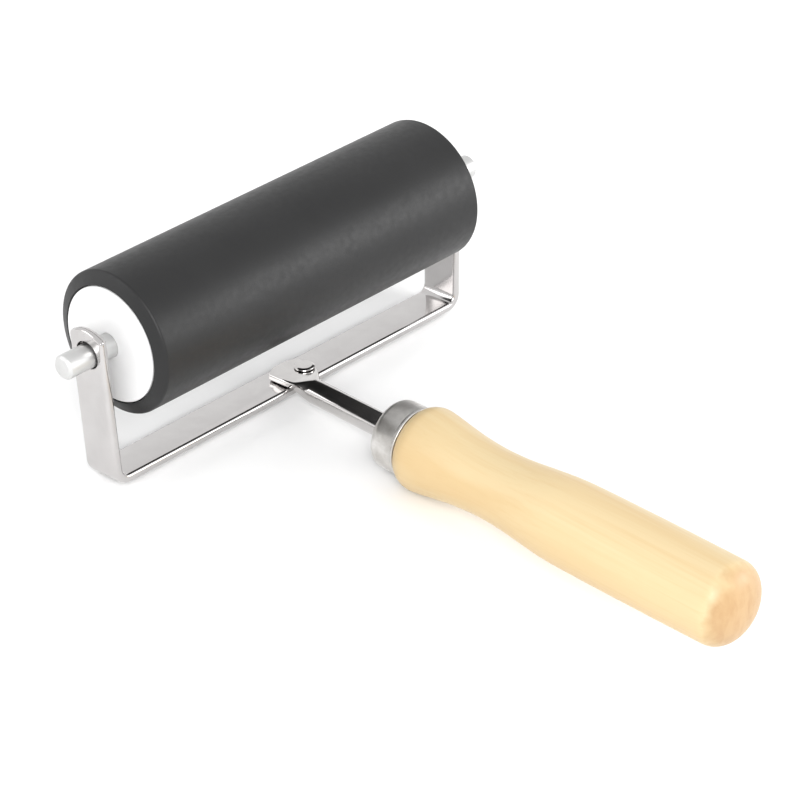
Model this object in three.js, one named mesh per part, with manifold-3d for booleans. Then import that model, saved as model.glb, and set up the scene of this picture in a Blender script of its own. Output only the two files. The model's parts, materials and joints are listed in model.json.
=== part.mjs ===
// A hand brayer: a rubber roller that turns on its axle between the two arms of a bent steel yoke,
// with a steel shank riveted to the yoke's bar and driven into a turned wooden handle.
//
// It is drawn first in the yoke's own frame and then laid down as it rests on a table:
//   X  along the roller's axle, with the bar's middle at 0
//   Y  the handle points to -Y
//   Z  up from the bar's top face, towards the roller
// Lengths are in millimetres. Pieces that touch are drawn a TOUCH_GAP apart.

import * as THREE from "three";
import { mergeVertices } from "three/addons/utils/BufferGeometryUtils.js";
import Module from "manifold-3d";

const wasm = await Module();
wasm.setup();

const TOUCH_GAP = 0.3;
const ROUND_SEGMENTS = 64; // facets around the roller and the handle
const PIN_SEGMENTS = 32; // facets around the axle, the shank and the rivet

// ---- Roller ----
const ROLLER_LENGTH = 150;
const ROLLER_RADIUS = 25;
const RUBBER_WALL = 5;
const END_BEVEL = 2.2; // how far the rubber's end cone runs along the axle
const RUBBER_EDGE_RADIUS = 1;
const CORE_WALL = 3;
const CAP_PROUD = 0.3; // the end caps stand this far out of the rubber
const CAP_FLANGE = 3;
const CAP_PLUG_LENGTH = 12;
const CAP_EDGE_RADIUS = 0.8;

// ---- Axle ----
const AXLE_RADIUS = 4.2;
const AXLE_LENGTH = 191;
const AXLE_CHAMFER = 0.9;
const AXLE_HEIGHT = 45.2; // above the bar's top face

// ---- Yoke: one bent strip ----
const STRIP_WIDTH = 15;
const STRIP_THICKNESS = 3;
const BEND_RADIUS = 3; // on the inside of each bend
const BAR_HALF_SPAN = 79.1; // to an arm's inner face, taken down to the bar's top face
const ARM_SPREAD = 2; // how much further out the inner face is at the axle's height
const ARM_LEAN = 1.1; // how far both arms lean towards the handle at the axle's height
const ARM_SKEW = 0.8; // how far both arms lean towards the left, at the same height
const ARM_TOP = 54.7;
const ARM_END_RADIUS = 12; // of the arc across each arm's top
const AXLE_HOLE_RADIUS = 4.9;
const AXLE_DROP = 0.3; // the axle lies this far below the middle of its holes

// ---- Shank: a rod with one end hammered flat ----
const SHANK_RADIUS = 4.3;
const SHANK_X = 2.2; // the shank and handle sit a little to one side of the bar's middle
const SHANK_RISE = 0.4; // the shank's axis, carried on to the bar's middle, is this far above its top face
const SHANK_DROOP = THREE.MathUtils.degToRad(3.53);
const SPADE_X = 3.7;
const SPADE_HALF_WIDTH = 7.3;
const SPADE_THICKNESS = 2.6;
const SPADE_EDGE_RADIUS = 0.8;
const SPADE_END_RADIUS = 10.7;
const SPADE_END_Y = 4.6;
const SPADE_WIDE_Y = -4.5; // the spade starts to narrow here
const SPADE_FLAT_Y = -7.8; // past the rivet and the bar's edge, where it starts to thicken
const ROD_FULL_Y = -15; // from here on the rod is round
const TANG_END = 118; // along the shank's axis

// ---- Rivet ----
const RIVET_X = 7.5;
const RIVET_Y = -4.2;
const RIVET_RADIUS = 2;
const RIVET_HEAD_RADIUS = 3.6;
const RIVET_HEAD_HEIGHT = 0.85;
const RIVET_RIM_HEIGHT = 0.4;
const RIVET_BEVEL = 0.7; // how far in from the rim the head's edge slopes
const RIVET_SINK_DEPTH = 1.5; // of the countersink in the bar's underside

// ---- Ferrule and handle, by distance along the shank's axis ----
const FERRULE_START = 50.5;
const FERRULE_LENGTH = 11.4;
const FERRULE_FRONT_RADIUS = 12.1;
const FERRULE_REAR_RADIUS = 12.6;
const FERRULE_WALL = 1;
const FERRULE_EDGE_RADIUS = 2.8;
const HANDLE_END_ROUND = 9.4; // how far the rounded end runs along the axis
// Distance along the axis and radius where the turned outline changes: the shoulder behind the
// ferrule, the front bulge, the waist and the grip.
const HANDLE_OUTLINE = [
  [62.2, 12.4],
  [63.6, 13.8],
  [66.5, 14.75],
  [70.5, 14.5],
  [76, 13.7],
  [83, 12.75],
  [90, 12.15],
  [97, 11.95],
  [106, 12.35],
  [116, 13.4],
  [126, 14.3],
  [138, 14.6],
  [165, 14.7],
  [191.2, 14.6],
];

const MATERIALS = {
  rubber: { color: 0x3b3b3d, roughness: 0.62, metalness: 0 },
  whitePlastic: { color: 0xf4f4f4, roughness: 0.35, metalness: 0 },
  core: { color: 0xb9bcc0, roughness: 0.45, metalness: 1 },
  axleSteel: { color: 0xdcdcda, roughness: 0.3, metalness: 1 },
  yokeSteel: { color: 0xd3d0cd, roughness: 0.2, metalness: 1 },
  shankSteel: { color: 0xc4c1be, roughness: 0.12, metalness: 1 },
  ferruleSteel: { color: 0xa7a19b, roughness: 0.3, metalness: 1 },
  wood: { color: 0xf6dcae, roughness: 0.35, metalness: 0 },
};

function part(name, geometry, finish) {
  const mesh = new THREE.Mesh(geometry, new THREE.MeshStandardMaterial(MATERIALS[finish]));
  mesh.name = name;
  return mesh;
}

// ---- Solids for cutting and joining ----

function toSolid(geometry) {
  const bare = geometry.clone();
  bare.deleteAttribute("normal");
  bare.deleteAttribute("uv");
  const welded = mergeVertices(bare, 1e-4);
  const mesh = new wasm.Mesh({
    numProp: 3,
    vertProperties: new Float32Array(welded.attributes.position.array),
    triVerts: new Uint32Array(welded.index.array),
  });
  return new wasm.Manifold(mesh);
}

function toGeometry(solid) {
  const mesh = solid.getMesh();
  const geometry = new THREE.BufferGeometry();
  geometry.setAttribute("position", new THREE.BufferAttribute(mesh.vertProperties, 3));
  geometry.setIndex(new THREE.BufferAttribute(mesh.triVerts, 1));
  geometry.computeVertexNormals();
  return geometry;
}

// A turned piece about the Y axis, from [radius, position] corners in order along its closed outline.
function turned(corners, segments) {
  const points = corners.map(([radius, along]) => new THREE.Vector2(radius, along));
  return new THREE.LatheGeometry(points, segments);
}

// Corners of a quarter round: centre [radius, along], from one angle to the other in degrees.
function roundCorners(centre, size, fromDegrees, toDegrees, steps) {
  const corners = [];
  for (let i = 0; i <= steps; i += 1) {
    const angle = THREE.MathUtils.degToRad(fromDegrees + ((toDegrees - fromDegrees) * i) / steps);
    corners.push([centre[0] + size * Math.cos(angle), centre[1] + size * Math.sin(angle)]);
  }
  return corners;
}

// ---- Roller, turned about Y and later swung round onto X ----

const HALF_LENGTH = ROLLER_LENGTH / 2;
const CORE_RADIUS = ROLLER_RADIUS - RUBBER_WALL;

function rubberSleeve() {
  const bore = CORE_RADIUS + TOUCH_GAP;
  const shoulder = HALF_LENGTH - END_BEVEL;
  const edge = RUBBER_EDGE_RADIUS;
  const upperEdge = roundCorners([ROLLER_RADIUS - edge, shoulder - edge], edge, 0, 70, 4);
  const lowerEdge = upperEdge.map(([radius, along]) => [radius, -along]).reverse();
  const outline = [[bore, -HALF_LENGTH], ...lowerEdge, ...upperEdge, [bore, HALF_LENGTH]];
  return turned([...outline, outline[0]], ROUND_SEGMENTS);
}

function coreTube() {
  const half = HALF_LENGTH + CAP_PROUD - CAP_FLANGE - TOUCH_GAP;
  const inner = CORE_RADIUS - CORE_WALL;
  const outline = [[inner, -half], [CORE_RADIUS, -half], [CORE_RADIUS, half], [inner, half]];
  return turned([...outline, outline[0]], ROUND_SEGMENTS);
}

// A cap's flange covers the core's end and its plug sits in the core's bore. Outer face towards +Y.
function endCap() {
  const face = HALF_LENGTH + CAP_PROUD;
  const back = face - CAP_FLANGE;
  const plug = CORE_RADIUS - CORE_WALL - TOUCH_GAP;
  const bore = AXLE_RADIUS + TOUCH_GAP;
  const edge = CAP_EDGE_RADIUS;
  const outline = [
    [bore, back - CAP_PLUG_LENGTH],
    [plug, back - CAP_PLUG_LENGTH],
    [plug, back],
    [CORE_RADIUS, back],
    ...roundCorners([CORE_RADIUS - edge, face - edge], edge, 0, 90, 4),
    [bore, face],
  ];
  return turned([...outline, outline[0]], ROUND_SEGMENTS);
}

function axleRod() {
  const half = AXLE_LENGTH / 2;
  const outline = [
    [0, -half],
    [AXLE_RADIUS - AXLE_CHAMFER, -half],
    [AXLE_RADIUS, AXLE_CHAMFER - half],
    [AXLE_RADIUS, half - AXLE_CHAMFER],
    [AXLE_RADIUS - AXLE_CHAMFER, half],
    [0, half],
  ];
  return turned(outline, PIN_SEGMENTS);
}

function roller() {
  const group = new THREE.Group();
  group.add(part("rubber_sleeve", rubberSleeve(), "rubber"));
  group.add(part("core_tube", coreTube(), "core"));
  group.add(part("axle", axleRod(), "axleSteel"));
  for (const [side, turn] of [["right", 0], ["left", Math.PI]]) {
    const cap = part(`end_cap_${side}`, endCap(), "whitePlastic");
    cap.rotation.x = turn;
    group.add(cap);
  }
  group.rotation.z = -Math.PI / 2;
  group.position.set(0, -ARM_LEAN, AXLE_HEIGHT);
  return group;
}

// ---- Yoke ----

// Half of the strip's edge-on outline: up one face of the right arm, from the bar's middle.
function bendLine(shape, radius, armLean, bendCentre, outward) {
  const armAngle = -armLean;
  const corner = new THREE.Vector2(Math.cos(armAngle), Math.sin(armAngle)).multiplyScalar(radius);
  const foot = bendCentre.clone().add(corner);
  const tip = foot.clone();
  tip.x += (ARM_TOP - foot.y) * Math.tan(armLean);
  tip.y = ARM_TOP;
  if (outward) {
    shape.absarc(bendCentre.x, bendCentre.y, radius, -Math.PI / 2, armAngle, false);
    shape.lineTo(tip.x, tip.y);
  } else {
    shape.lineTo(tip.x, tip.y);
    shape.absarc(bendCentre.x, bendCentre.y, radius, armAngle, -Math.PI / 2, true);
  }
}

function yokeStrip() {
  const lean = Math.atan(ARM_SPREAD / AXLE_HEIGHT);
  const bendIn = BEND_RADIUS * (Math.cos(lean) - (1 - Math.sin(lean)) * Math.tan(lean));
  const bendCentre = new THREE.Vector2(BAR_HALF_SPAN - bendIn, BEND_RADIUS);
  const outline = new THREE.Shape();
  outline.moveTo(0, -STRIP_THICKNESS);
  bendLine(outline, BEND_RADIUS + STRIP_THICKNESS, lean, bendCentre, true);
  bendLine(outline, BEND_RADIUS, lean, bendCentre, false);
  outline.lineTo(0, 0);
  const half = outline.extractPoints(6).shape;
  const mirrored = half.map((point) => new THREE.Vector2(-point.x, point.y)).reverse();
  const whole = new THREE.Shape([...half.slice(0, -1), ...mirrored.slice(1)]);

  // The strip's width runs along Y once the outline stands up in X and Z.
  const strip = new THREE.ExtrudeGeometry(whole, { depth: STRIP_WIDTH, bevelEnabled: false });
  strip.rotateX(Math.PI / 2);
  strip.translate(0, STRIP_WIDTH / 2, 0);
  return toSolid(strip);
}

// The side view that both arms are trimmed to. Each arm's top is cut to an arc.
function armTrim() {
  const shape = new THREE.Shape();
  shape.moveTo(-ARM_END_RADIUS, -2 * STRIP_THICKNESS);
  shape.lineTo(ARM_END_RADIUS, -2 * STRIP_THICKNESS);
  shape.absarc(0, ARM_TOP - ARM_END_RADIUS, ARM_END_RADIUS, 0, Math.PI, false);
  return toSolid(alongX(shape, 4 * BAR_HALF_SPAN, 24));
}

// Extrudes a shape drawn in Y and Z along X, centred on 0.
function alongX(shape, length, curveSegments) {
  const geometry = new THREE.ExtrudeGeometry(shape, { depth: length, bevelEnabled: false, curveSegments });
  geometry.rotateX(Math.PI / 2);
  geometry.rotateZ(Math.PI / 2);
  geometry.translate(-length / 2, 0, 0);
  return geometry;
}

function uprightTurned(corners, x, y) {
  const geometry = turned(corners, PIN_SEGMENTS);
  geometry.rotateX(Math.PI / 2);
  geometry.translate(x, y, 0);
  return geometry;
}

// The rivet's hole through the bar and spade, widened to a cone in the bar's underside.
function rivetHole() {
  const hole = RIVET_RADIUS + TOUCH_GAP;
  const sink = hole + RIVET_SINK_DEPTH;
  const below = -STRIP_THICKNESS - 1;
  const sinkTop = -STRIP_THICKNESS + RIVET_SINK_DEPTH;
  const corners = [[0, below], [sink + 1, below], [hole, sinkTop], [hole, 10], [0, 10]];
  return toSolid(uprightTurned(corners, RIVET_X, RIVET_Y));
}

function yoke() {
  const holes = new THREE.CylinderGeometry(
    AXLE_HOLE_RADIUS, AXLE_HOLE_RADIUS, 4 * BAR_HALF_SPAN, PIN_SEGMENTS,
  );
  holes.rotateZ(Math.PI / 2);
  holes.translate(0, 0, AXLE_HEIGHT + AXLE_DROP);
  const strip = yokeStrip().intersect(armTrim()).subtract(toSolid(holes)).subtract(rivetHole());
  return leanArms(toGeometry(strip));
}

// Everything above the bar slides towards the handle and the left, in step with its height.
function leanArms(geometry) {
  const position = geometry.attributes.position;
  for (let i = 0; i < position.count; i += 1) {
    const share = Math.max(position.getZ(i), 0) / AXLE_HEIGHT;
    position.setX(i, position.getX(i) - ARM_SKEW * share);
    position.setY(i, position.getY(i) - ARM_LEAN * share);
  }
  return geometry;
}

// ---- Shank ----

// A rod whose round section closes to a flat, rounded-edged bar at the spade end.
function shankRod() {
  const transitionSteps = 12;
  const stations = [SPADE_END_Y + 2];
  for (let i = 0; i <= transitionSteps; i += 1) {
    stations.push(THREE.MathUtils.lerp(SPADE_WIDE_Y, ROD_FULL_Y, i / transitionSteps));
  }
  stations.push(-TANG_END * Math.cos(SHANK_DROOP));

  const rod = new THREE.CylinderGeometry(1, 1, 1, PIN_SEGMENTS, stations.length - 1);
  const position = rod.attributes.position;
  const halfStep = Math.PI / PIN_SEGMENTS;
  for (let i = 0; i < position.count; i += 1) {
    const station = Math.round((0.5 - position.getY(i)) * (stations.length - 1));
    const y = stations[station];
    const angle = Math.atan2(position.getZ(i), position.getX(i)) + halfStep;
    const onAxis = Math.hypot(position.getX(i), position.getZ(i)) < 0.5;
    const section = shankSection(y);
    const roundX = section.edge * Math.cos(angle);
    const roundZ = section.edge * Math.sin(angle);
    const x = Math.sign(roundX) * (section.halfWidth - section.edge) + roundX;
    const z = Math.sign(roundZ) * (section.halfHeight - section.edge) + roundZ;
    position.setXYZ(i, section.x + (onAxis ? 0 : x), y, section.z + (onAxis ? 0 : z));
  }
  return rod;
}

// The shank's centre and section at one place along Y.
function shankSection(y) {
  const { lerp, smoothstep } = THREE.MathUtils;
  const narrowing = smoothstep(-y, -SPADE_WIDE_Y, -ROD_FULL_Y);
  const thickening = smoothstep(-y, -SPADE_FLAT_Y, -ROD_FULL_Y);
  const axisZ = SHANK_RISE + y * Math.tan(SHANK_DROOP);
  const halfHeight = lerp(SPADE_THICKNESS / 2, SHANK_RADIUS, thickening);
  return {
    x: lerp(SPADE_X, SHANK_X, narrowing),
    z: lerp(TOUCH_GAP + SPADE_THICKNESS / 2, axisZ, thickening),
    halfWidth: lerp(SPADE_HALF_WIDTH, SHANK_RADIUS, narrowing),
    halfHeight,
    edge: halfHeight * lerp((2 * SPADE_EDGE_RADIUS) / SPADE_THICKNESS, 1, thickening),
  };
}

// Plan view that trims the spade's end to an arc.
function spadeTrim() {
  const centreY = SPADE_END_Y - SPADE_END_RADIUS;
  const rear = -2 * TANG_END;
  const shape = new THREE.Shape();
  shape.moveTo(SPADE_X - SPADE_END_RADIUS, rear);
  shape.lineTo(SPADE_X + SPADE_END_RADIUS, rear);
  shape.absarc(SPADE_X, centreY, SPADE_END_RADIUS, 0, Math.PI, false);
  const depth = 4 * SHANK_RADIUS + 2 * TANG_END * Math.tan(SHANK_DROOP);
  const geometry = new THREE.ExtrudeGeometry(shape, { depth, bevelEnabled: false, curveSegments: 24 });
  geometry.translate(0, 0, 2 * SHANK_RADIUS - depth);
  return toSolid(geometry);
}

function shank() {
  const rod = toSolid(shankRod()).intersect(spadeTrim());
  return toGeometry(rod.subtract(rivetHole()));
}

// ---- Rivet ----

// A low, bevelled head on the spade, a shaft, and a tail spread into the bar's countersink.
function rivet() {
  const seat = TOUCH_GAP + SPADE_THICKNESS + TOUCH_GAP;
  const sinkTop = -STRIP_THICKNESS + RIVET_SINK_DEPTH;
  const tail = -STRIP_THICKNESS + TOUCH_GAP;
  const top = seat + RIVET_HEAD_HEIGHT;
  const corners = [
    [0, tail],
    [RIVET_RADIUS + RIVET_SINK_DEPTH - TOUCH_GAP, tail],
    [RIVET_RADIUS, sinkTop],
    [RIVET_RADIUS, seat],
    [RIVET_HEAD_RADIUS, seat],
    [RIVET_HEAD_RADIUS, seat + RIVET_RIM_HEIGHT],
    [RIVET_HEAD_RADIUS - RIVET_BEVEL, top],
    [0, top],
  ];
  return uprightTurned(corners, RIVET_X, RIVET_Y);
}

// ---- Ferrule and handle, turned about the shank's axis, which runs along -Y ----

// The ferrule's outside from its rear rim to the end of its rounded front edge.
function ferruleOutside() {
  const front = -FERRULE_START;
  const edge = FERRULE_EDGE_RADIUS;
  return [
    [FERRULE_REAR_RADIUS, front - FERRULE_LENGTH],
    ...roundCorners([FERRULE_FRONT_RADIUS - edge, front - edge], edge, 0, 90, 6),
  ];
}

// A slightly flared cup with a hole in its front for the shank.
function ferrule() {
  const front = -FERRULE_START;
  const edge = FERRULE_EDGE_RADIUS;
  const inside = roundCorners(
    [FERRULE_FRONT_RADIUS - edge, front - edge], edge - FERRULE_WALL, 0, 90, 6,
  ).reverse();
  const hole = SHANK_RADIUS + TOUCH_GAP;
  const outline = [
    [FERRULE_REAR_RADIUS - FERRULE_WALL, front - FERRULE_LENGTH],
    ...ferruleOutside(),
    [hole, front],
    [hole, front - FERRULE_WALL],
    ...inside,
  ];
  return turned([...outline, outline[0]], ROUND_SEGMENTS);
}

// The wood's outside from its shoulder to the middle of its rounded end.
function gripOutside() {
  const along = HANDLE_OUTLINE.map(([distance, radius]) => new THREE.Vector2(radius, -distance));
  const outside = new THREE.SplineCurve(along).getPoints(39).map((point) => [point.x, point.y]);
  const [endRadius, endStart] = outside[outside.length - 1];
  const endSteps = 8;
  for (let i = 1; i < endSteps; i += 1) {
    const angle = ((Math.PI / 2) * i) / endSteps;
    outside.push([endRadius * Math.cos(angle), endStart - HANDLE_END_ROUND * Math.sin(angle)]);
  }
  return [...outside, [0, endStart - HANDLE_END_ROUND]];
}

// The turned wood, with a tenon in the ferrule and a bore for the shank's tang.
function handleGrip() {
  const clearance = FERRULE_WALL + TOUCH_GAP;
  const front = -FERRULE_START - clearance;
  const shoulder = -HANDLE_OUTLINE[0][0];
  const edge = FERRULE_EDGE_RADIUS - FERRULE_WALL;
  const bore = SHANK_RADIUS + TOUCH_GAP;
  const boreEnd = -TANG_END - 2;
  const corners = [
    [0, boreEnd],
    [bore, boreEnd],
    [bore, front],
    [FERRULE_FRONT_RADIUS - clearance - edge, front],
    [FERRULE_FRONT_RADIUS - clearance, front - edge],
    [FERRULE_REAR_RADIUS - clearance, shoulder],
    ...gripOutside(),
  ];
  return turned(corners.reverse(), ROUND_SEGMENTS);
}

function handle() {
  const group = new THREE.Group();
  group.add(part("ferrule", ferrule(), "ferruleSteel"));
  group.add(part("handle_grip", handleGrip(), "wood"));
  group.position.set(SHANK_X, 0, SHANK_RISE);
  group.rotation.x = SHANK_DROOP;
  return group;
}

// ---- Laid down ----

// On a table the brayer leans on the far lower edge of its bar and on the underside of the ferrule
// or the wood. This is the angle between the bar's underside and the table.
function restAngle() {
  const edge = new THREE.Vector2(STRIP_WIDTH / 2, -STRIP_THICKNESS);
  const turnedAbout = new THREE.Vector2(0, SHANK_RISE);
  const slopes = [...ferruleOutside(), ...gripOutside()].map(([radius, along]) => {
    const underside = new THREE.Vector2(along, SHANK_RISE - radius);
    const towardsEdge = edge.clone().sub(underside.rotateAround(turnedAbout, SHANK_DROOP));
    return Math.atan2(towardsEdge.y, towardsEdge.x);
  });
  return Math.max(...slopes);
}

const brayer = new THREE.Group();
brayer.add(part("yoke", yoke(), "yokeSteel"));
brayer.add(part("shank", shank(), "shankSteel"));
brayer.add(part("rivet", rivet(), "shankSteel"));
brayer.add(handle());
brayer.add(roller());
brayer.rotation.x = -restAngle();

// The origin is at the middle of the box around the whole brayer, on the table.
const box = new THREE.Box3().setFromObject(brayer, true);
const middle = box.getCenter(new THREE.Vector3());
brayer.position.set(-middle.x, -middle.y, -box.min.z);

const root = new THREE.Group();
root.add(brayer);

export default root;
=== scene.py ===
"""Looks of a hand brayer: smooth, round-edged pieces with procedural materials around its CAD frame.

Lengths are in millimetres in the yoke's own frame: X along the roller's axle, the handle towards -Y
and Z up from the bar's top face. yoke_frame() gives its place in the row frame, in metres. A turned
piece is drawn about its own Z axis, and its outline is a list of (radius, distance along).
"""

import json
import math

import bmesh
import bpy
from mathutils import Matrix, Vector


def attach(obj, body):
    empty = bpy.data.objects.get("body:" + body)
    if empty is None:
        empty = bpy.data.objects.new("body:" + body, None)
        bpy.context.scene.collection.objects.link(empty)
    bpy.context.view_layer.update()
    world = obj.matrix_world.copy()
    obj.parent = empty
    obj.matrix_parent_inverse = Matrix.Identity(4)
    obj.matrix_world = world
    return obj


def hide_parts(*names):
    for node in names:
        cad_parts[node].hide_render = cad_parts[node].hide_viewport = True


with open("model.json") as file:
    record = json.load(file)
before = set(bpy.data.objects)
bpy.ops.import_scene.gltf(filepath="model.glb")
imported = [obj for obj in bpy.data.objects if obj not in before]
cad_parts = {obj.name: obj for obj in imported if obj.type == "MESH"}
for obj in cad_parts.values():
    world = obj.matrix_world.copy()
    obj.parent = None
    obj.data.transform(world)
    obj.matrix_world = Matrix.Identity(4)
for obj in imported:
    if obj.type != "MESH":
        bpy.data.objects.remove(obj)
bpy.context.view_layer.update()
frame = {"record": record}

MM = 0.001
TOUCH_GAP = 0.3
PRESS_GAP = 0.03  # round the axle where it shows in the caps' bores
ROUND_SEGMENTS = 192
PIN_SEGMENTS = 96
QUARTER_STEPS = 10  # of a fillet that turns through a right angle
SPLINE_STEPS = 8  # between two points of a curved outline
SHARP_ANGLE = math.radians(38)
ON_AXIS = 1e-6  # below this radius a turned outline meets its axis
SOFT_EDGE = 0.2  # fillet of a small edge

# ---- Roller ----
HALF_LENGTH = 75
ROLLER_RADIUS = 25
RUBBER_WALL = 5
END_BEVEL = 2.2
RUBBER_EDGE_RADIUS = 1.1
RUBBER_LIP_RADIUS = 0.3
CORE_RADIUS = ROLLER_RADIUS - RUBBER_WALL
CORE_WALL = 3
CORE_EDGE_RADIUS = 0.3
CAP_PROUD = 0.3
CAP_FLANGE = 3
CAP_PLUG_LENGTH = 12
CAP_EDGE_RADIUS = 0.8

# ---- Axle ----
AXLE_RADIUS = 4.2
AXLE_HALF_LENGTH = 95.5
AXLE_CHAMFER = 0.9
AXLE_CHAMFER_FILLETS = (0.7, 0.5)  # where the chamfer meets the side and the end
AXLE_HEIGHT = 45.2

# ---- Yoke ----
STRIP_WIDTH = 15
STRIP_THICKNESS = 3
STRIP_EDGE_RADIUS = 1.05
HOLE_EDGE_RADIUS = 0.45
RIVET_HOLE_EDGE_RADIUS = 0.16
LEAST_ROUNDED_ANGLE = math.radians(25)  # between the faces at an edge that is rounded
BEND_RADIUS = 3
BEND_STEPS = 24
BAR_HALF_SPAN = 79.1
ARM_SPREAD = 2
ARM_LEAN = 1.1
ARM_SKEW = 0.8
ARM_TOP = 54.7
ARM_END_RADIUS = 12
AXLE_HOLE_RADIUS = 4.9
AXLE_DROP = 0.3

# ---- Shank ----
SHANK_RADIUS = 4.3
SHANK_X = 2.2
SHANK_RISE = 0.4
SHANK_DROOP = math.radians(3.53)
SPADE_X = 3.7
SPADE_HALF_WIDTH = 7.3
SPADE_THICKNESS = 2.6
SPADE_EDGE_RADIUS = 0.8
SPADE_END_RADIUS = 10.7
SPADE_END_Y = 4.6
SPADE_WIDE_Y = -4.5
SPADE_FLAT_Y = -7.8
ROD_FULL_Y = -15
TANG_END = 118
TANG_TAPER = 1
TANG_TAPER_LENGTH = 2

# ---- Rivet ----
RIVET_X = 7.5
RIVET_Y = -4.2
RIVET_RADIUS = 2
RIVET_HEAD_RADIUS = 3.6
RIVET_HEAD_HEIGHT = 0.85
RIVET_RIM_HEIGHT = 0.4
RIVET_BEVEL = 0.7
RIVET_FILLET = 0.1
RIVET_RIM_FILLET = 0.25
RIVET_TOP_FILLET = 0.5
RIVET_SINK_DEPTH = 1.5

# ---- Ferrule and handle, by distance along the shank's axis ----
FERRULE_START = 50.5
FERRULE_LENGTH = 11.4
FERRULE_FRONT_RADIUS = 12.1
FERRULE_REAR_RADIUS = 12.6
FERRULE_WALL = 1
FERRULE_EDGE_RADIUS = 2.8
FERRULE_HOLE_FILLET = 0.25
FERRULE_FLARE = 0.35
FERRULE_FLARE_LENGTH = 1.5
FERRULE_FLARE_RADIUS = 1.2
FERRULE_RIM = 0.7
FERRULE_RIM_FILLET = 0.3
BORE_SPARE_DEPTH = 2
BORE_FILLET = 0.3
HANDLE_END_ROUND = 9.4
HANDLE_END_POWER = 0.92  # 1 makes the end an ellipse; less makes it squarer
HANDLE_OUTLINE = [
    (62.2, 12.4),
    (63.6, 13.8),
    (66.5, 14.75),
    (70.5, 14.5),
    (76, 13.7),
    (83, 12.75),
    (90, 12.15),
    (97, 11.95),
    (106, 12.35),
    (116, 13.4),
    (126, 14.3),
    (138, 14.6),
    (165, 14.7),
    (191.2, 14.6),
]

# ---- Studio, in metres, in the row frame ----
FLOOR_HALF_SIZE = 6
FLOOR_SHADE = 0.9
HORIZON_GLOW = 1.12
ZENITH_GLOW = 1
GLOW_CHANGES_BETWEEN = (0.1, 0.8)  # heights of the direction looked in, from level 0 to upright 1
SOFTBOXES = [  # name, place, what it points at, size, power in watts
    ("front_left", (-1.1, -0.85, 1.1), (0, -0.02, 0.02), (0.9, 0.9), 20),
    ("right", (0.85, -0.8, 0.5), (0, 0.06, 0.04), (0.6, 0.6), 7),
    ("back_left", (-0.95, 0.9, 0.5), (0, -0.05, 0.03), (0.8, 0.5), 3),
]

# ---- Camera: the direction of the view and its distance, in the yoke's frame ----
CAMERA_TARGET = Vector((-3.4, -60, 15.1))
CAMERA_DISTANCE = 1148.8
CAMERA_AZIMUTH = math.radians(-45.38)
CAMERA_ELEVATION = math.radians(29.43)
CAMERA_ROLL = math.radians(-2.35)
CAMERA_LENS = 158.1
CAMERA_SENSOR = 36
CAMERA_CLIP = (0.05, 20)  # metres


# ---------------------------------------------------------------- places

def yoke_frame():
    """The yoke's frame, found from the mount in the middle of the width of the bar's underside."""
    mount = next(m for m in frame["record"]["mounts"] if m["name"] == "bar_underside")
    up = -Vector(mount["axis"])
    below_middle = Vector((0, *mount["pos_m"][1:]))
    tilt = math.atan2(up.y, up.z)
    top_middle = below_middle + up * STRIP_THICKNESS * MM
    return Matrix.Translation(top_middle) @ Matrix.Rotation(-tilt, 4, "X")


def moved(x, y, z):
    return Matrix.Translation(Vector((x, y, z)) * MM)


YOKE = yoke_frame()
ROLLER = YOKE @ moved(0, -ARM_LEAN, AXLE_HEIGHT) @ Matrix.Rotation(math.pi / 2, 4, "Y")
ROLLER_FLIPPED = ROLLER @ Matrix.Rotation(math.pi, 4, "X")
HANDLE = YOKE @ moved(SHANK_X, 0, SHANK_RISE) @ Matrix.Rotation(SHANK_DROOP + math.pi / 2, 4, "X")
RIVET = YOKE @ moved(RIVET_X, RIVET_Y, 0)


# ---------------------------------------------------------------- meshes

def mesh_object(name, vertices, faces):
    """A mesh in millimetres, not yet in its place."""
    mesh = bpy.data.meshes.new(name)
    mesh.from_pydata([tuple(v) for v in vertices], [], faces)
    mesh.validate()
    body = bpy.data.objects.new(name, mesh)
    bpy.context.scene.collection.objects.link(body)
    return body


def baked(body):
    """Replaces the object's mesh by what its modifiers make of it."""
    graph = bpy.context.evaluated_depsgraph_get()
    mesh = bpy.data.meshes.new_from_object(body.evaluated_get(graph))
    body.modifiers.clear()
    body.data = mesh
    return body


def finished(body, place, material, riding, node):
    """Puts a piece in its place, smooths it, gives it its material, hangs it on its body and hides the
    CAD part it replaces.
    """
    mesh = body.data
    mesh.transform(Matrix.Scale(MM, 4))
    mesh.polygons.foreach_set("use_smooth", [True] * len(mesh.polygons))
    mesh.set_sharp_from_angle(angle=SHARP_ANGLE)
    mesh.materials.clear()
    mesh.materials.append(material)
    body.matrix_world = place
    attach(body, riding)
    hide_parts(node)
    return body


def filleted(corners, closed=True):
    """An outline's points from (radius, along, fillet) corners. Each fillet becomes an arc."""
    points = []
    count = len(corners)
    for index, (radius, along, fillet) in enumerate(corners):
        here = Vector((radius, along))
        at_end = not closed and index in (0, count - 1)
        if fillet == 0 or at_end:
            points.append(here)
            continue
        before = (Vector(corners[index - 1][:2]) - here).normalized()
        after = (Vector(corners[(index + 1) % count][:2]) - here).normalized()
        half = before.angle(after) / 2
        reach = fillet / math.tan(half)
        centre = here + (before + after).normalized() * fillet / math.sin(half)
        first = here + before * reach - centre
        last = here + after * reach - centre
        start = math.atan2(first.y, first.x)
        turn = (math.atan2(last.y, last.x) - start + math.pi) % (2 * math.pi) - math.pi
        steps = max(2, round(QUARTER_STEPS * abs(turn) / (math.pi / 2)))
        for step in range(steps + 1):
            angle = start + turn * step / steps
            points.append(centre + fillet * Vector((math.cos(angle), math.sin(angle))))
    return points


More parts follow.
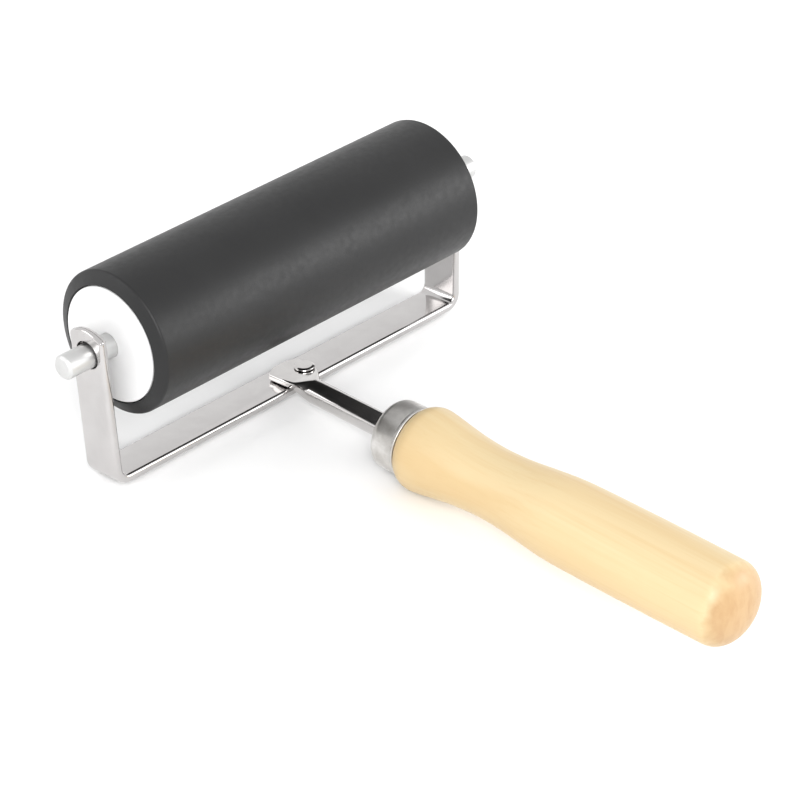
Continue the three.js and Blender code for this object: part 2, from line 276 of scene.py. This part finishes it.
def turned(name, outline, closed=True, segments=ROUND_SEGMENTS):
    """A body turned about Z. An open outline starts and ends on the axis."""
    vertices, rings = [], []
    for radius, along in outline:
        if radius < ON_AXIS:
            rings.append([len(vertices)] * segments)
            vertices.append((0, 0, along))
            continue
        rings.append(list(range(len(vertices), len(vertices) + segments)))
        for step in range(segments):
            angle = 2 * math.pi * step / segments
            vertices.append((radius * math.cos(angle), radius * math.sin(angle), along))
    if closed:
        rings.append(rings[0])
    faces = []
    for low, high in zip(rings, rings[1:]):
        for step in range(segments):
            after = (step + 1) % segments
            corners = [low[step], low[after], high[after], high[step]]
            face = list(dict.fromkeys(corners))
            if len(face) > 2:
                faces.append(face)
    body = mesh_object(name, vertices, faces)
    return outward(body)


def outward(body):
    work = bmesh.new()
    work.from_mesh(body.data)
    bmesh.ops.recalc_face_normals(work, faces=work.faces)
    work.to_mesh(body.data)
    work.free()
    return body


def cut(body, tool, operation="DIFFERENCE"):
    """Cuts body with tool, or keeps what they share, and removes the tool."""
    modifier = body.modifiers.new(operation, "BOOLEAN")
    modifier.operation = operation
    modifier.solver = "EXACT"
    modifier.object = tool
    baked(body)
    bpy.data.objects.remove(tool)
    return body


def prism(name, outline, depth):
    """A closed body with the flat outline (x, y) at z = 0 and again at z = depth."""
    count = len(outline)
    vertices = [(x, y, z) for z in (0, depth) for x, y in outline]
    faces = [list(range(count))[::-1], list(range(count, 2 * count))]
    for step in range(count):
        after = (step + 1) % count
        faces.append([step, after, count + after, count + step])
    return outward(mesh_object(name, vertices, faces))


def arc(centre, radius, start, end, steps):
    """Points of an arc between two angles in degrees."""
    points = []
    for step in range(steps + 1):
        angle = math.radians(start + (end - start) * step / steps)
        points.append(Vector(centre) + radius * Vector((math.cos(angle), math.sin(angle))))
    return points


# ---------------------------------------------------------------- roller pieces

def mirrored(corners):
    """The same corners at the other end of the roller, in the order that carries the outline on."""
    return [(radius, -along, fillet) for radius, along, fillet in reversed(corners)]


def rubber_sleeve():
    bore = CORE_RADIUS + TOUCH_GAP
    shoulder = HALF_LENGTH - END_BEVEL
    half = [
        (ROLLER_RADIUS, shoulder, RUBBER_EDGE_RADIUS),
        (bore, HALF_LENGTH, RUBBER_LIP_RADIUS),
    ]
    return turned("rubber_sleeve_surface", filleted(half + mirrored(half)))


def core_tube():
    half = HALF_LENGTH + CAP_PROUD - CAP_FLANGE - TOUCH_GAP
    inner = CORE_RADIUS - CORE_WALL
    corners = [(inner, -half), (CORE_RADIUS, -half), (CORE_RADIUS, half), (inner, half)]
    return turned("core_tube_surface", filleted([(*corner, CORE_EDGE_RADIUS) for corner in corners]))


def end_cap(name):
    face = HALF_LENGTH + CAP_PROUD
    back = face - CAP_FLANGE
    plug = CORE_RADIUS - CORE_WALL - TOUCH_GAP
    bore = AXLE_RADIUS + PRESS_GAP
    outline = [
        (bore, back - CAP_PLUG_LENGTH, SOFT_EDGE),
        (plug, back - CAP_PLUG_LENGTH, CAP_EDGE_RADIUS),
        (plug, back, 0),
        (CORE_RADIUS, back, SOFT_EDGE),
        (CORE_RADIUS, face, CAP_EDGE_RADIUS),
        (bore, face, SOFT_EDGE / 2),
    ]
    return turned(name, filleted(outline))


def axle():
    inner = AXLE_RADIUS - AXLE_CHAMFER
    shoulder = AXLE_HALF_LENGTH - AXLE_CHAMFER
    side_fillet, end_fillet = AXLE_CHAMFER_FILLETS
    half = [
        (AXLE_RADIUS, shoulder, side_fillet),
        (inner, AXLE_HALF_LENGTH, end_fillet),
        (0, AXLE_HALF_LENGTH, 0),
    ]
    outline = filleted(mirrored(half) + half, closed=False)
    return turned("axle_surface", outline, False, PIN_SEGMENTS)


# ---------------------------------------------------------------- yoke

def strip_outline():
    """The bent strip seen edge-on, as (x, z) points. Its ends are trimmed to ARM_TOP afterwards."""
    lean = math.atan(ARM_SPREAD / AXLE_HEIGHT)
    bend_in = BEND_RADIUS * (math.cos(lean) - (1 - math.sin(lean)) * math.tan(lean))
    centre = (BAR_HALF_SPAN - bend_in, BEND_RADIUS)
    outline = []
    for radius in (BEND_RADIUS + STRIP_THICKNESS, BEND_RADIUS):
        bend = arc(centre, radius, -90, -math.degrees(lean), BEND_STEPS)
        foot = bend[-1]
        top = Vector((foot.x + (ARM_TOP - foot.y) * math.tan(lean), ARM_TOP))
        side = bend + [top]
        outline += side if radius > BEND_RADIUS else side[::-1]
    return outline + [Vector((-point.x, point.y)) for point in reversed(outline)]


def rivet_hole():
    """A tool for the rivet's hole, with a countersink that opens downwards."""
    hole = RIVET_RADIUS + TOUCH_GAP
    sink = hole + RIVET_SINK_DEPTH
    past = 1
    below = -STRIP_THICKNESS - past
    above = 2 * SPADE_THICKNESS
    sink_top = -STRIP_THICKNESS + RIVET_SINK_DEPTH
    outline = [(0, below), (sink + past, below), (hole, sink_top), (hole, above), (0, above)]
    tool = turned("rivet_hole", outline, False, PIN_SEGMENTS)
    tool.data.transform(Matrix.Translation((RIVET_X, RIVET_Y, 0)))
    return tool


def yoke():
    strip = prism("yoke_surface", strip_outline(), STRIP_WIDTH)
    upright = Matrix.Rotation(math.pi / 2, 4, "X")
    strip.data.transform(Matrix.Translation((0, STRIP_WIDTH / 2, 0)) @ upright)

    ends = arc((0, ARM_TOP - ARM_END_RADIUS), ARM_END_RADIUS, 0, 180, PIN_SEGMENTS)
    foot = -4 * STRIP_THICKNESS
    profile = [(-ARM_END_RADIUS, foot), (ARM_END_RADIUS, foot), *ends]
    trim = prism("arm_trim", profile, 4 * BAR_HALF_SPAN)
    along_x = Matrix.Rotation(math.pi / 2, 4, "Z") @ upright
    trim.data.transform(Matrix.Translation((-2 * BAR_HALF_SPAN, 0, 0)) @ along_x)
    cut(strip, trim, "INTERSECT")

    reach = 2 * BAR_HALF_SPAN
    hole = [(0, -reach), (AXLE_HOLE_RADIUS, -reach), (AXLE_HOLE_RADIUS, reach), (0, reach)]
    drill = turned("axle_holes", hole, False, PIN_SEGMENTS)
    hole_height = AXLE_HEIGHT + AXLE_DROP
    across = Matrix.Rotation(math.pi / 2, 4, "Y")
    drill.data.transform(Matrix.Translation((0, 0, hole_height)) @ across)
    cut(strip, drill)
    cut(strip, rivet_hole())
    round_edges(strip, hole_height)
    lean_arms(strip.data)
    return strip


def round_edges(strip, hole_height):
    """Rounds the strip's long edges and ends, and the edges of its holes a little less."""
    mesh = strip.data
    work = bmesh.new()
    work.from_mesh(mesh)
    bmesh.ops.remove_doubles(work, verts=work.verts, dist=1e-4)
    bmesh.ops.dissolve_limit(work, angle_limit=1e-3, verts=work.verts, edges=work.edges)
    layer = work.edges.layers.float.new("bevel_weight_edge")
    for edge in work.edges:
        if len(edge.link_faces) != 2 or edge.calc_face_angle(0) < LEAST_ROUNDED_ANGLE:
            continue
        middle = (edge.verts[0].co + edge.verts[1].co) / 2
        from_rivet = math.hypot(middle.x - RIVET_X, middle.y - RIVET_Y)
        from_axle = math.hypot(middle.y, middle.z - hole_height)
        if abs(middle.x) < BAR_HALF_SPAN / 2 and from_rivet < 2 * RIVET_RADIUS:
            edge[layer] = RIVET_HOLE_EDGE_RADIUS / STRIP_EDGE_RADIUS
        elif from_axle < AXLE_HOLE_RADIUS + 0.1:
            edge[layer] = HOLE_EDGE_RADIUS / STRIP_EDGE_RADIUS
        else:
            edge[layer] = 1
    work.to_mesh(mesh)
    work.free()
    bevel = strip.modifiers.new("edges", "BEVEL")
    bevel.limit_method = "WEIGHT"
    bevel.width = STRIP_EDGE_RADIUS
    bevel.segments = 5
    bevel.use_clamp_overlap = False
    baked(strip)


def lean_arms(mesh):
    for vertex in mesh.vertices:
        share = max(vertex.co.z, 0) / AXLE_HEIGHT
        vertex.co.x -= ARM_SKEW * share
        vertex.co.y -= ARM_LEAN * share


# ---------------------------------------------------------------- shank and rivet

def smoothstep(value, low, high):
    share = min(max((value - low) / (high - low), 0), 1)
    return share * share * (3 - 2 * share)


def lerp(start, end, share):
    return start + (end - start) * share


def shank_section(y):
    """Half width, half height, corner radius and middle (x, z) of the shank at one place."""
    narrowing = smoothstep(-y, -SPADE_WIDE_Y, -ROD_FULL_Y)
    thickening = smoothstep(-y, -SPADE_FLAT_Y, -ROD_FULL_Y)
    axis_z = SHANK_RISE + y * math.tan(SHANK_DROOP)
    half_height = lerp(SPADE_THICKNESS / 2, SHANK_RADIUS, thickening)
    half_width = lerp(SPADE_HALF_WIDTH, SHANK_RADIUS, narrowing)
    corner = half_height * lerp(2 * SPADE_EDGE_RADIUS / SPADE_THICKNESS, 1, thickening)
    middle = (
        lerp(SPADE_X, SHANK_X, narrowing),
        lerp(TOUCH_GAP + SPADE_THICKNESS / 2, axis_z, thickening),
    )
    return half_width, half_height, corner, middle


def shank():
    """Sections from the spade's end, which is an arc in plan with a rounded edge, to the tang."""
    sections = []
    arc_steps = 24
    narrowest = math.radians(1.5)
    widest = math.asin(SPADE_HALF_WIDTH / SPADE_END_RADIUS)
    for step in range(arc_steps + 1):
        angle = lerp(narrowest, widest, step / arc_steps)
        from_tip = SPADE_END_RADIUS * (1 - math.cos(angle))
        lacking = max(SPADE_EDGE_RADIUS - from_tip, 0)
        half_height = SPADE_THICKNESS / 2 - SPADE_EDGE_RADIUS
        half_height += math.sqrt(SPADE_EDGE_RADIUS**2 - lacking**2)
        half_width = SPADE_END_RADIUS * math.sin(angle)
        corner = min(SPADE_EDGE_RADIUS, half_width, half_height)
        middle = (SPADE_X, TOUCH_GAP + SPADE_THICKNESS / 2)
        sections.append((SPADE_END_Y - from_tip, half_width, half_height, corner, middle))
    transition_steps = 40
    for step in range(transition_steps + 1):
        y = lerp(SPADE_WIDE_Y, ROD_FULL_Y, step / transition_steps)
        sections.append((y, *shank_section(y)))
    end_y = -TANG_END * math.cos(SHANK_DROOP)
    along_rod = [ROD_FULL_Y * times for times in (2, 3, 4)]
    for y in (*along_rod, end_y + TANG_TAPER_LENGTH, end_y):
        half_width, half_height, corner, middle = shank_section(y)
        taper = TANG_TAPER if y == end_y else 0
        sections.append((y, half_width - taper, half_height - taper, corner - taper, middle))

    count = PIN_SEGMENTS
    vertices = []
    for y, half_width, half_height, corner, (mid_x, mid_z) in sections:
        for step in range(count):
            angle = 2 * math.pi * (step + 0.5) / count
            round_x, round_z = corner * math.cos(angle), corner * math.sin(angle)
            x = math.copysign(half_width - corner, round_x) + round_x
            z = math.copysign(half_height - corner, round_z) + round_z
            vertices.append((mid_x + x, y, mid_z + z))
    faces = [list(range(count)), list(range(len(vertices) - count, len(vertices)))]
    for ring in range(len(sections) - 1):
        for step in range(count):
            after = (step + 1) % count
            low, high = ring * count, (ring + 1) * count
            faces.append([low + step, low + after, high + after, high + step])
    rod = outward(mesh_object("shank_surface", vertices, faces))
    return cut(rod, rivet_hole())


def rivet():
    """A low, bevelled head on the spade, a shaft, and a tail spread into the countersink."""
    seat = TOUCH_GAP + SPADE_THICKNESS + TOUCH_GAP
    sink_top = -STRIP_THICKNESS + RIVET_SINK_DEPTH
    tail = -STRIP_THICKNESS + TOUCH_GAP
    top = seat + RIVET_HEAD_HEIGHT
    outline = [
        (0, tail, 0),
        (RIVET_RADIUS + RIVET_SINK_DEPTH - TOUCH_GAP, tail, 1.5 * RIVET_FILLET),
        (RIVET_RADIUS, sink_top, RIVET_FILLET),
        (RIVET_RADIUS, seat, RIVET_FILLET),
        (RIVET_HEAD_RADIUS, seat, RIVET_FILLET),
        (RIVET_HEAD_RADIUS, seat + RIVET_RIM_HEIGHT, RIVET_RIM_FILLET),
        (RIVET_HEAD_RADIUS - RIVET_BEVEL, top, RIVET_TOP_FILLET),
        (0, top, 0),
    ]
    outline = filleted(outline, closed=False)
    return turned("rivet_surface", outline, False, PIN_SEGMENTS)


# ---------------------------------------------------------------- ferrule and handle

def ferrule():
    """A drawn cup, rounded at the front, with its rear rim flared and rolled over."""
    front = FERRULE_START
    rear = front + FERRULE_LENGTH
    hole = SHANK_RADIUS + TOUCH_GAP
    wall = FERRULE_WALL
    waist = FERRULE_REAR_RADIUS - FERRULE_FLARE
    outline = [
        (hole, front, FERRULE_HOLE_FILLET),
        (FERRULE_FRONT_RADIUS, front, FERRULE_EDGE_RADIUS),
        (waist, rear - FERRULE_FLARE_LENGTH, FERRULE_FLARE_RADIUS),
        (FERRULE_REAR_RADIUS, rear - FERRULE_RIM, FERRULE_RIM_FILLET),
        (FERRULE_REAR_RADIUS, rear, FERRULE_RIM_FILLET),
        (FERRULE_REAR_RADIUS - wall, rear, SOFT_EDGE),
        (FERRULE_FRONT_RADIUS - wall, front + wall, FERRULE_EDGE_RADIUS - wall),
        (hole, front + wall, SOFT_EDGE),
    ]
    return turned("ferrule_surface", filleted(outline))


def spline(points, steps):
    """A smooth curve through the points, with that many steps between each two."""
    curve = []
    last = len(points) - 1
    for index in range(last):
        around = [Vector(points[min(max(index + offset, 0), last)]) for offset in (-1, 0, 1, 2)]
        before, start, end, after = around
        leave, arrive = (end - before) / 2, (after - start) / 2
        for step in range(steps):
            t = step / steps
            from_start = (2 * t**3 - 3 * t**2 + 1) * start + (t**3 - 2 * t**2 + t) * leave
            to_end = (3 * t**2 - 2 * t**3) * end + (t**3 - t**2) * arrive
            curve.append(from_start + to_end)
    return curve + [Vector(points[-1])]


def handle_grip():
    """A bore for the tang, a seat for the ferrule, a waisted grip and a blunt rounded end."""
    clearance = FERRULE_WALL + TOUCH_GAP
    front = FERRULE_START + clearance
    shoulder, shoulder_radius = HANDLE_OUTLINE[0]
    bore = SHANK_RADIUS + TOUCH_GAP
    bore_end = TANG_END + BORE_SPARE_DEPTH
    inside = [
        (0, bore_end, 0),
        (bore, bore_end, BORE_FILLET),
        (bore, front, BORE_FILLET),
        (FERRULE_FRONT_RADIUS - clearance, front, FERRULE_EDGE_RADIUS - FERRULE_WALL),
        (FERRULE_REAR_RADIUS - clearance, shoulder, SOFT_EDGE),
        (shoulder_radius, shoulder, 0),
    ]
    outside = [Vector((radius, along)) for along, radius in spline(HANDLE_OUTLINE, SPLINE_STEPS)]
    end_radius, end_start = outside[-1]
    end_steps = 28
    rounded = []
    for step in range(1, end_steps):
        angle = math.pi / 2 * step / end_steps
        radius = end_radius * math.cos(angle) ** HANDLE_END_POWER
        along = end_start + HANDLE_END_ROUND * math.sin(angle) ** HANDLE_END_POWER
        rounded.append(Vector((radius, along)))
    tip = [Vector((0, end_start + HANDLE_END_ROUND))]
    outline = filleted(inside, closed=False) + outside[1:] + rounded + tip
    return turned("handle_grip_surface", outline, False)


# ---------------------------------------------------------------- materials

class Finish:
    """A material with helpers for its nodes. Texture scales are in waves per millimetre."""

    def __init__(self, name, **settings):
        self.material = bpy.data.materials.new(name)
        self.material.use_nodes = True
        self.tree = self.material.node_tree
        self.shader = self.tree.nodes["Principled BSDF"]
        for key, value in settings.items():
            self.shader.inputs[key.replace("_", " ")].default_value = value
        self.coordinates = self.tree.nodes.new("ShaderNodeTexCoord").outputs["Object"]

    def node(self, kind, **inputs):
        made = self.tree.nodes.new(kind)
        for key, value in inputs.items():
            self.set(made.inputs[key.replace("_", " ")], value)
        return made

    def set(self, socket, value):
        if isinstance(value, bpy.types.NodeSocket):
            self.tree.links.new(value, socket)
        else:
            socket.default_value = value

    def noise(self, scale, detail=3, roughness=0.5, distortion=0):
        """Noise with one scale, or three for waves that are longer one way than another."""
        scales = scale if isinstance(scale, tuple) else (scale,) * 3
        mapping = self.node("ShaderNodeMapping", Vector=self.coordinates)
        mapping.inputs["Scale"].default_value = [each / MM for each in scales]
        return self.node(
            "ShaderNodeTexNoise",
            Vector=mapping.outputs[0],
            Scale=1,
            Detail=detail,
            Roughness=roughness,
            Distortion=distortion,
        ).outputs["Fac"]

    def ranged(self, value, low, high, to_low, to_high):
        """Stretches low..high of a value to to_low..to_high, with the ends held."""
        made = self.node(
            "ShaderNodeMapRange",
            Value=value,
            From_Min=low,
            From_Max=high,
            To_Min=to_low,
            To_Max=to_high,
        )
        return made.outputs["Result"]

    def math(self, operation, first, second):
        made = self.tree.nodes.new("ShaderNodeMath")
        made.operation = operation
        self.set(made.inputs[0], first)
        self.set(made.inputs[1], second)
        return made.outputs[0]

    def mixed(self, factor, first, second):
        """A colour between two, each a colour or a socket."""
        made = self.tree.nodes.new("ShaderNodeMix")
        made.data_type = "RGBA"
        self.set(made.inputs[0], factor)
        for socket, value in ((made.inputs[6], first), (made.inputs[7], second)):
            self.set(socket, (*value, 1) if isinstance(value, tuple) else value)
        return made.outputs[2]

    def bumps(self, *layers):
        """Bumps from (height 0..1, depth in mm) layers, one on top of the other."""
        normal = None
        for height, depth in layers:
            made = self.node("ShaderNodeBump", Height=height, Strength=1, Distance=depth * MM)
            if normal:
                self.set(made.inputs["Normal"], normal)
            normal = made.outputs["Normal"]
        self.set(self.shader.inputs["Normal"], normal)

    def use(self, name, value):
        self.set(self.shader.inputs[name], value)


def rubber_finish():
    """Ground black rubber: fine pits, faint rings left by grinding, a dusty bloom in patches."""
    finish = Finish("brayer_rubber", Specular_IOR_Level=0.36)
    patches = finish.noise(0.035, detail=4)
    rings = finish.noise((0.02, 0.02, 2.2), detail=2)
    black, bloom = (0.0075, 0.0075, 0.0079), (0.0115, 0.0115, 0.0119)
    finish.use("Base Color", finish.mixed(finish.ranged(patches, 0.3, 0.7, 0, 1), black, bloom))
    finish.use("Roughness", finish.ranged(finish.noise(0.4), 0.3, 0.7, 0.42, 0.5))
    finish.bumps((rings, 0.006), (finish.noise(4, detail=2), 0.02))
    return finish.material


def plastic_finish():
    """Semi-gloss white moulding with a slightly uneven skin."""
    finish = Finish("brayer_white_plastic", Specular_IOR_Level=0.45)
    shade = finish.ranged(finish.noise(0.08), 0.3, 0.7, 0, 1)
    dull, bright = (0.70, 0.70, 0.70), (0.74, 0.74, 0.74)
    finish.use("Base Color", finish.mixed(shade, dull, bright))
    finish.use("Roughness", finish.ranged(finish.noise(0.5), 0.3, 0.7, 0.3, 0.4))
    finish.bumps((finish.noise(0.12), 0.03), (finish.noise(3, detail=2), 0.002))
    return finish.material


def metal_finish(name, dark, light, roughness, grain, depth):
    """Bare or plated metal. Smudges change its gloss; the grain is the lines left in making it."""
    finish = Finish(name, Metallic=1)
    smudges = finish.noise(0.09, detail=5, roughness=0.6, distortion=0.4)
    finish.use("Base Color", finish.mixed(finish.ranged(smudges, 0.35, 0.65, 0, 1), dark, light))
    lines = finish.noise(grain, detail=3)
    smudged = finish.ranged(smudges, 0.35, 0.7, 0, 1)
    scored = finish.ranged(lines, 0.2, 0.8, 0.7, 1)
    dulling = finish.math("MULTIPLY", smudged, scored)
    finish.use("Roughness", finish.ranged(dulling, 0, 1, *roughness))
    finish.bumps((lines, depth), (finish.noise(0.05, detail=2), 0.01))
    return finish.material


def wood_finish():
    """Pale close-grained wood, turned and lacquered. Its rounded end is darker: partly the end grain's
    own deeper tone, partly painted shade of the end face.
    """
    finish = Finish("brayer_wood", Coat_Weight=0.2, Coat_Roughness=0.35, Specular_IOR_Level=0.4)
    bands = finish.noise((0.16, 0.03, 0.006), detail=3, distortion=0.3)
    streaks = finish.noise((0.9, 0.9, 0.02), detail=4, roughness=0.6)
    pores = finish.noise((3, 3, 0.12), detail=2)
    pale, warm = (0.61, 0.48, 0.275), (0.575, 0.42, 0.218)
    streak, pore = (0.53, 0.355, 0.17), (0.62, 0.38, 0.17)
    colour = finish.mixed(finish.ranged(bands, 0.38, 0.6, 0, 1), pale, warm)
    colour = finish.mixed(finish.ranged(streaks, 0.5, 0.75, 0, 0.28), colour, streak)
    colour = finish.mixed(finish.ranged(pores, 0.62, 0.75, 0, 0.16), colour, pore)

    along = finish.node("ShaderNodeSeparateXYZ", Vector=finish.coordinates).outputs["Z"]
    end_start = HANDLE_OUTLINE[-1][0]
    most_wander = 2.5 * MM
    wander = finish.ranged(finish.noise(0.12), 0.2, 0.8, -most_wander, most_wander)
    place = finish.math("ADD", along, wander)
    at_end = finish.ranged(place, (end_start + 2) * MM, (end_start + 6) * MM, 0, 1)
    rings = finish.noise((0.3, 0.14, 0.1), detail=4, distortion=0.3)
    # painted shade: the end's colours are darker than the grip's, partly the end grain's own tone and
    # partly painted shade on the end face
    end_grain_shade_pale, end_grain_shade_dark = (0.49, 0.32, 0.16), (0.42, 0.25, 0.11)
    end_grain_and_shade_colour = finish.mixed(finish.ranged(rings, 0.45, 0.72, 0, 0.8), end_grain_shade_pale, end_grain_shade_dark)
    colour = finish.mixed(at_end, colour, end_grain_and_shade_colour)
    finish.use("Base Color", colour)
    finish.use("Roughness", finish.ranged(streaks, 0.3, 0.7, 0.38, 0.5))
    turning = finish.noise((0.01, 0.01, 1.4), detail=2)
    finish.bumps((turning, 0.006), (streaks, 0.012), (pores, 0.006))
    return finish.material


# ---------------------------------------------------------------- assembly

def build():
    rubber = rubber_finish()
    plastic = plastic_finish()
    core_metal = metal_finish(
        "brayer_core_tube",
        dark=(0.66, 0.67, 0.69),
        light=(0.76, 0.77, 0.79),
        roughness=(0.35, 0.5),
        grain=(0.5, 0.5, 0.01),
        depth=0.004,
    )
    axle_metal = metal_finish(
        "brayer_axle",
        dark=(0.56, 0.56, 0.555),
        light=(0.64, 0.64, 0.635),
        roughness=(0.36, 0.5),
        grain=(0.02, 0.02, 3),
        depth=0.003,
    )
    plate = metal_finish(
        "brayer_plated_strip",
        dark=(0.52, 0.505, 0.5),
        light=(0.56, 0.545, 0.54),
        roughness=(0.1, 0.18),
        grain=(0.03, 1.5, 1.5),
        depth=0.0008,
    )
    rod = metal_finish(
        "brayer_polished_rod",
        dark=(0.55, 0.535, 0.525),
        light=(0.62, 0.605, 0.595),
        roughness=(0.07, 0.14),
        grain=(1.5, 0.03, 1.5),
        depth=0.0006,
    )
    cup = metal_finish(
        "brayer_ferrule",
        dark=(0.50, 0.48, 0.45),
        light=(0.82, 0.805, 0.785),
        roughness=(0.36, 0.48),
        grain=(0.02, 0.02, 2.5),
        depth=0.003,
    )
    wood = wood_finish()

    finished(rubber_sleeve(), ROLLER, rubber, "roller", "rubber_sleeve")
    finished(core_tube(), ROLLER, core_metal, "roller", "core_tube")
    finished(axle(), ROLLER, axle_metal, "roller", "axle")
    for side, place in (("right", ROLLER), ("left", ROLLER_FLIPPED)):
        cap = f"end_cap_{side}"
        finished(end_cap(f"{cap}_surface"), place, plastic, "roller", cap)
    finished(yoke(), YOKE, plate, "frame", "yoke")
    finished(shank(), YOKE, rod, "frame", "shank")
    finished(rivet(), RIVET, rod, "frame", "rivet")
    finished(ferrule(), HANDLE, cup, "frame", "ferrule")
    finished(handle_grip(), HANDLE, wood, "frame", "handle_grip")


# ---------------------------------------------------------------- studio

def floor():
    half = FLOOR_HALF_SIZE
    corners = [(-half, -half, 0), (half, -half, 0), (half, half, 0), (-half, half, 0)]
    plane = mesh_object("floor", corners, [[0, 1, 2, 3]])
    material = bpy.data.materials.new("pale_floor")
    material.use_nodes = True
    shader = material.node_tree.nodes["Principled BSDF"]
    shader.inputs["Base Color"].default_value = (FLOOR_SHADE, FLOOR_SHADE, FLOOR_SHADE, 1)
    shader.inputs["Roughness"].default_value = 0.8
    shader.inputs["Specular IOR Level"].default_value = 0.2
    plane.data.materials.append(material)


def softbox(name, position, target, size, power):
    light = bpy.data.lights.new(name, "AREA")
    light.shape = "RECTANGLE"
    light.size, light.size_y = size
    light.energy = power
    lamp = bpy.data.objects.new(name, light)
    bpy.context.scene.collection.objects.link(lamp)
    aim = Vector(target) - Vector(position)
    lamp.location = position
    lamp.rotation_euler = aim.to_track_quat("-Z", "Y").to_euler()


def studio():
    scene = bpy.context.scene
    scene.view_settings.view_transform = "Standard"
    scene.view_settings.look = "None"
    world = bpy.data.worlds.new("studio")
    scene.world = world
    world.use_nodes = True
    nodes, links = world.node_tree.nodes, world.node_tree.links
    direction = nodes.new("ShaderNodeTexCoord").outputs["Generated"]
    height = nodes.new("ShaderNodeSeparateXYZ")
    glow = nodes.new("ShaderNodeMapRange")
    links.new(direction, height.inputs[0])
    links.new(height.outputs["Z"], glow.inputs["Value"])
    glow.inputs["From Min"].default_value, glow.inputs["From Max"].default_value = GLOW_CHANGES_BETWEEN
    glow.inputs["To Min"].default_value = HORIZON_GLOW
    glow.inputs["To Max"].default_value = ZENITH_GLOW
    background = nodes["Background"]
    background.inputs["Color"].default_value = (1, 1, 1, 1)
    links.new(glow.outputs["Result"], background.inputs["Strength"])
    for light in SOFTBOXES:
        softbox(*light)


def camera():
    sin_a, cos_a = math.sin(CAMERA_AZIMUTH), math.cos(CAMERA_AZIMUTH)
    sin_e, cos_e = math.sin(CAMERA_ELEVATION), math.cos(CAMERA_ELEVATION)
    back = Vector((sin_a * cos_e, -cos_a * cos_e, sin_e))
    level = Vector((cos_a, sin_a, 0))
    upright = back.cross(level)
    right = level * math.cos(CAMERA_ROLL) + upright * math.sin(CAMERA_ROLL)
    up = back.cross(right)
    turn = Matrix((right, up, back)).transposed().to_4x4()
    place = moved(*(CAMERA_TARGET + back * CAMERA_DISTANCE))
    data = bpy.data.cameras.new("camera")
    data.lens = CAMERA_LENS
    data.sensor_width = CAMERA_SENSOR
    data.clip_start, data.clip_end = CAMERA_CLIP
    viewer = bpy.data.objects.new("camera", data)
    bpy.context.scene.collection.objects.link(viewer)
    viewer.matrix_world = YOKE @ place @ turn
    bpy.context.scene.camera = viewer


build()
floor()
studio()
camera()
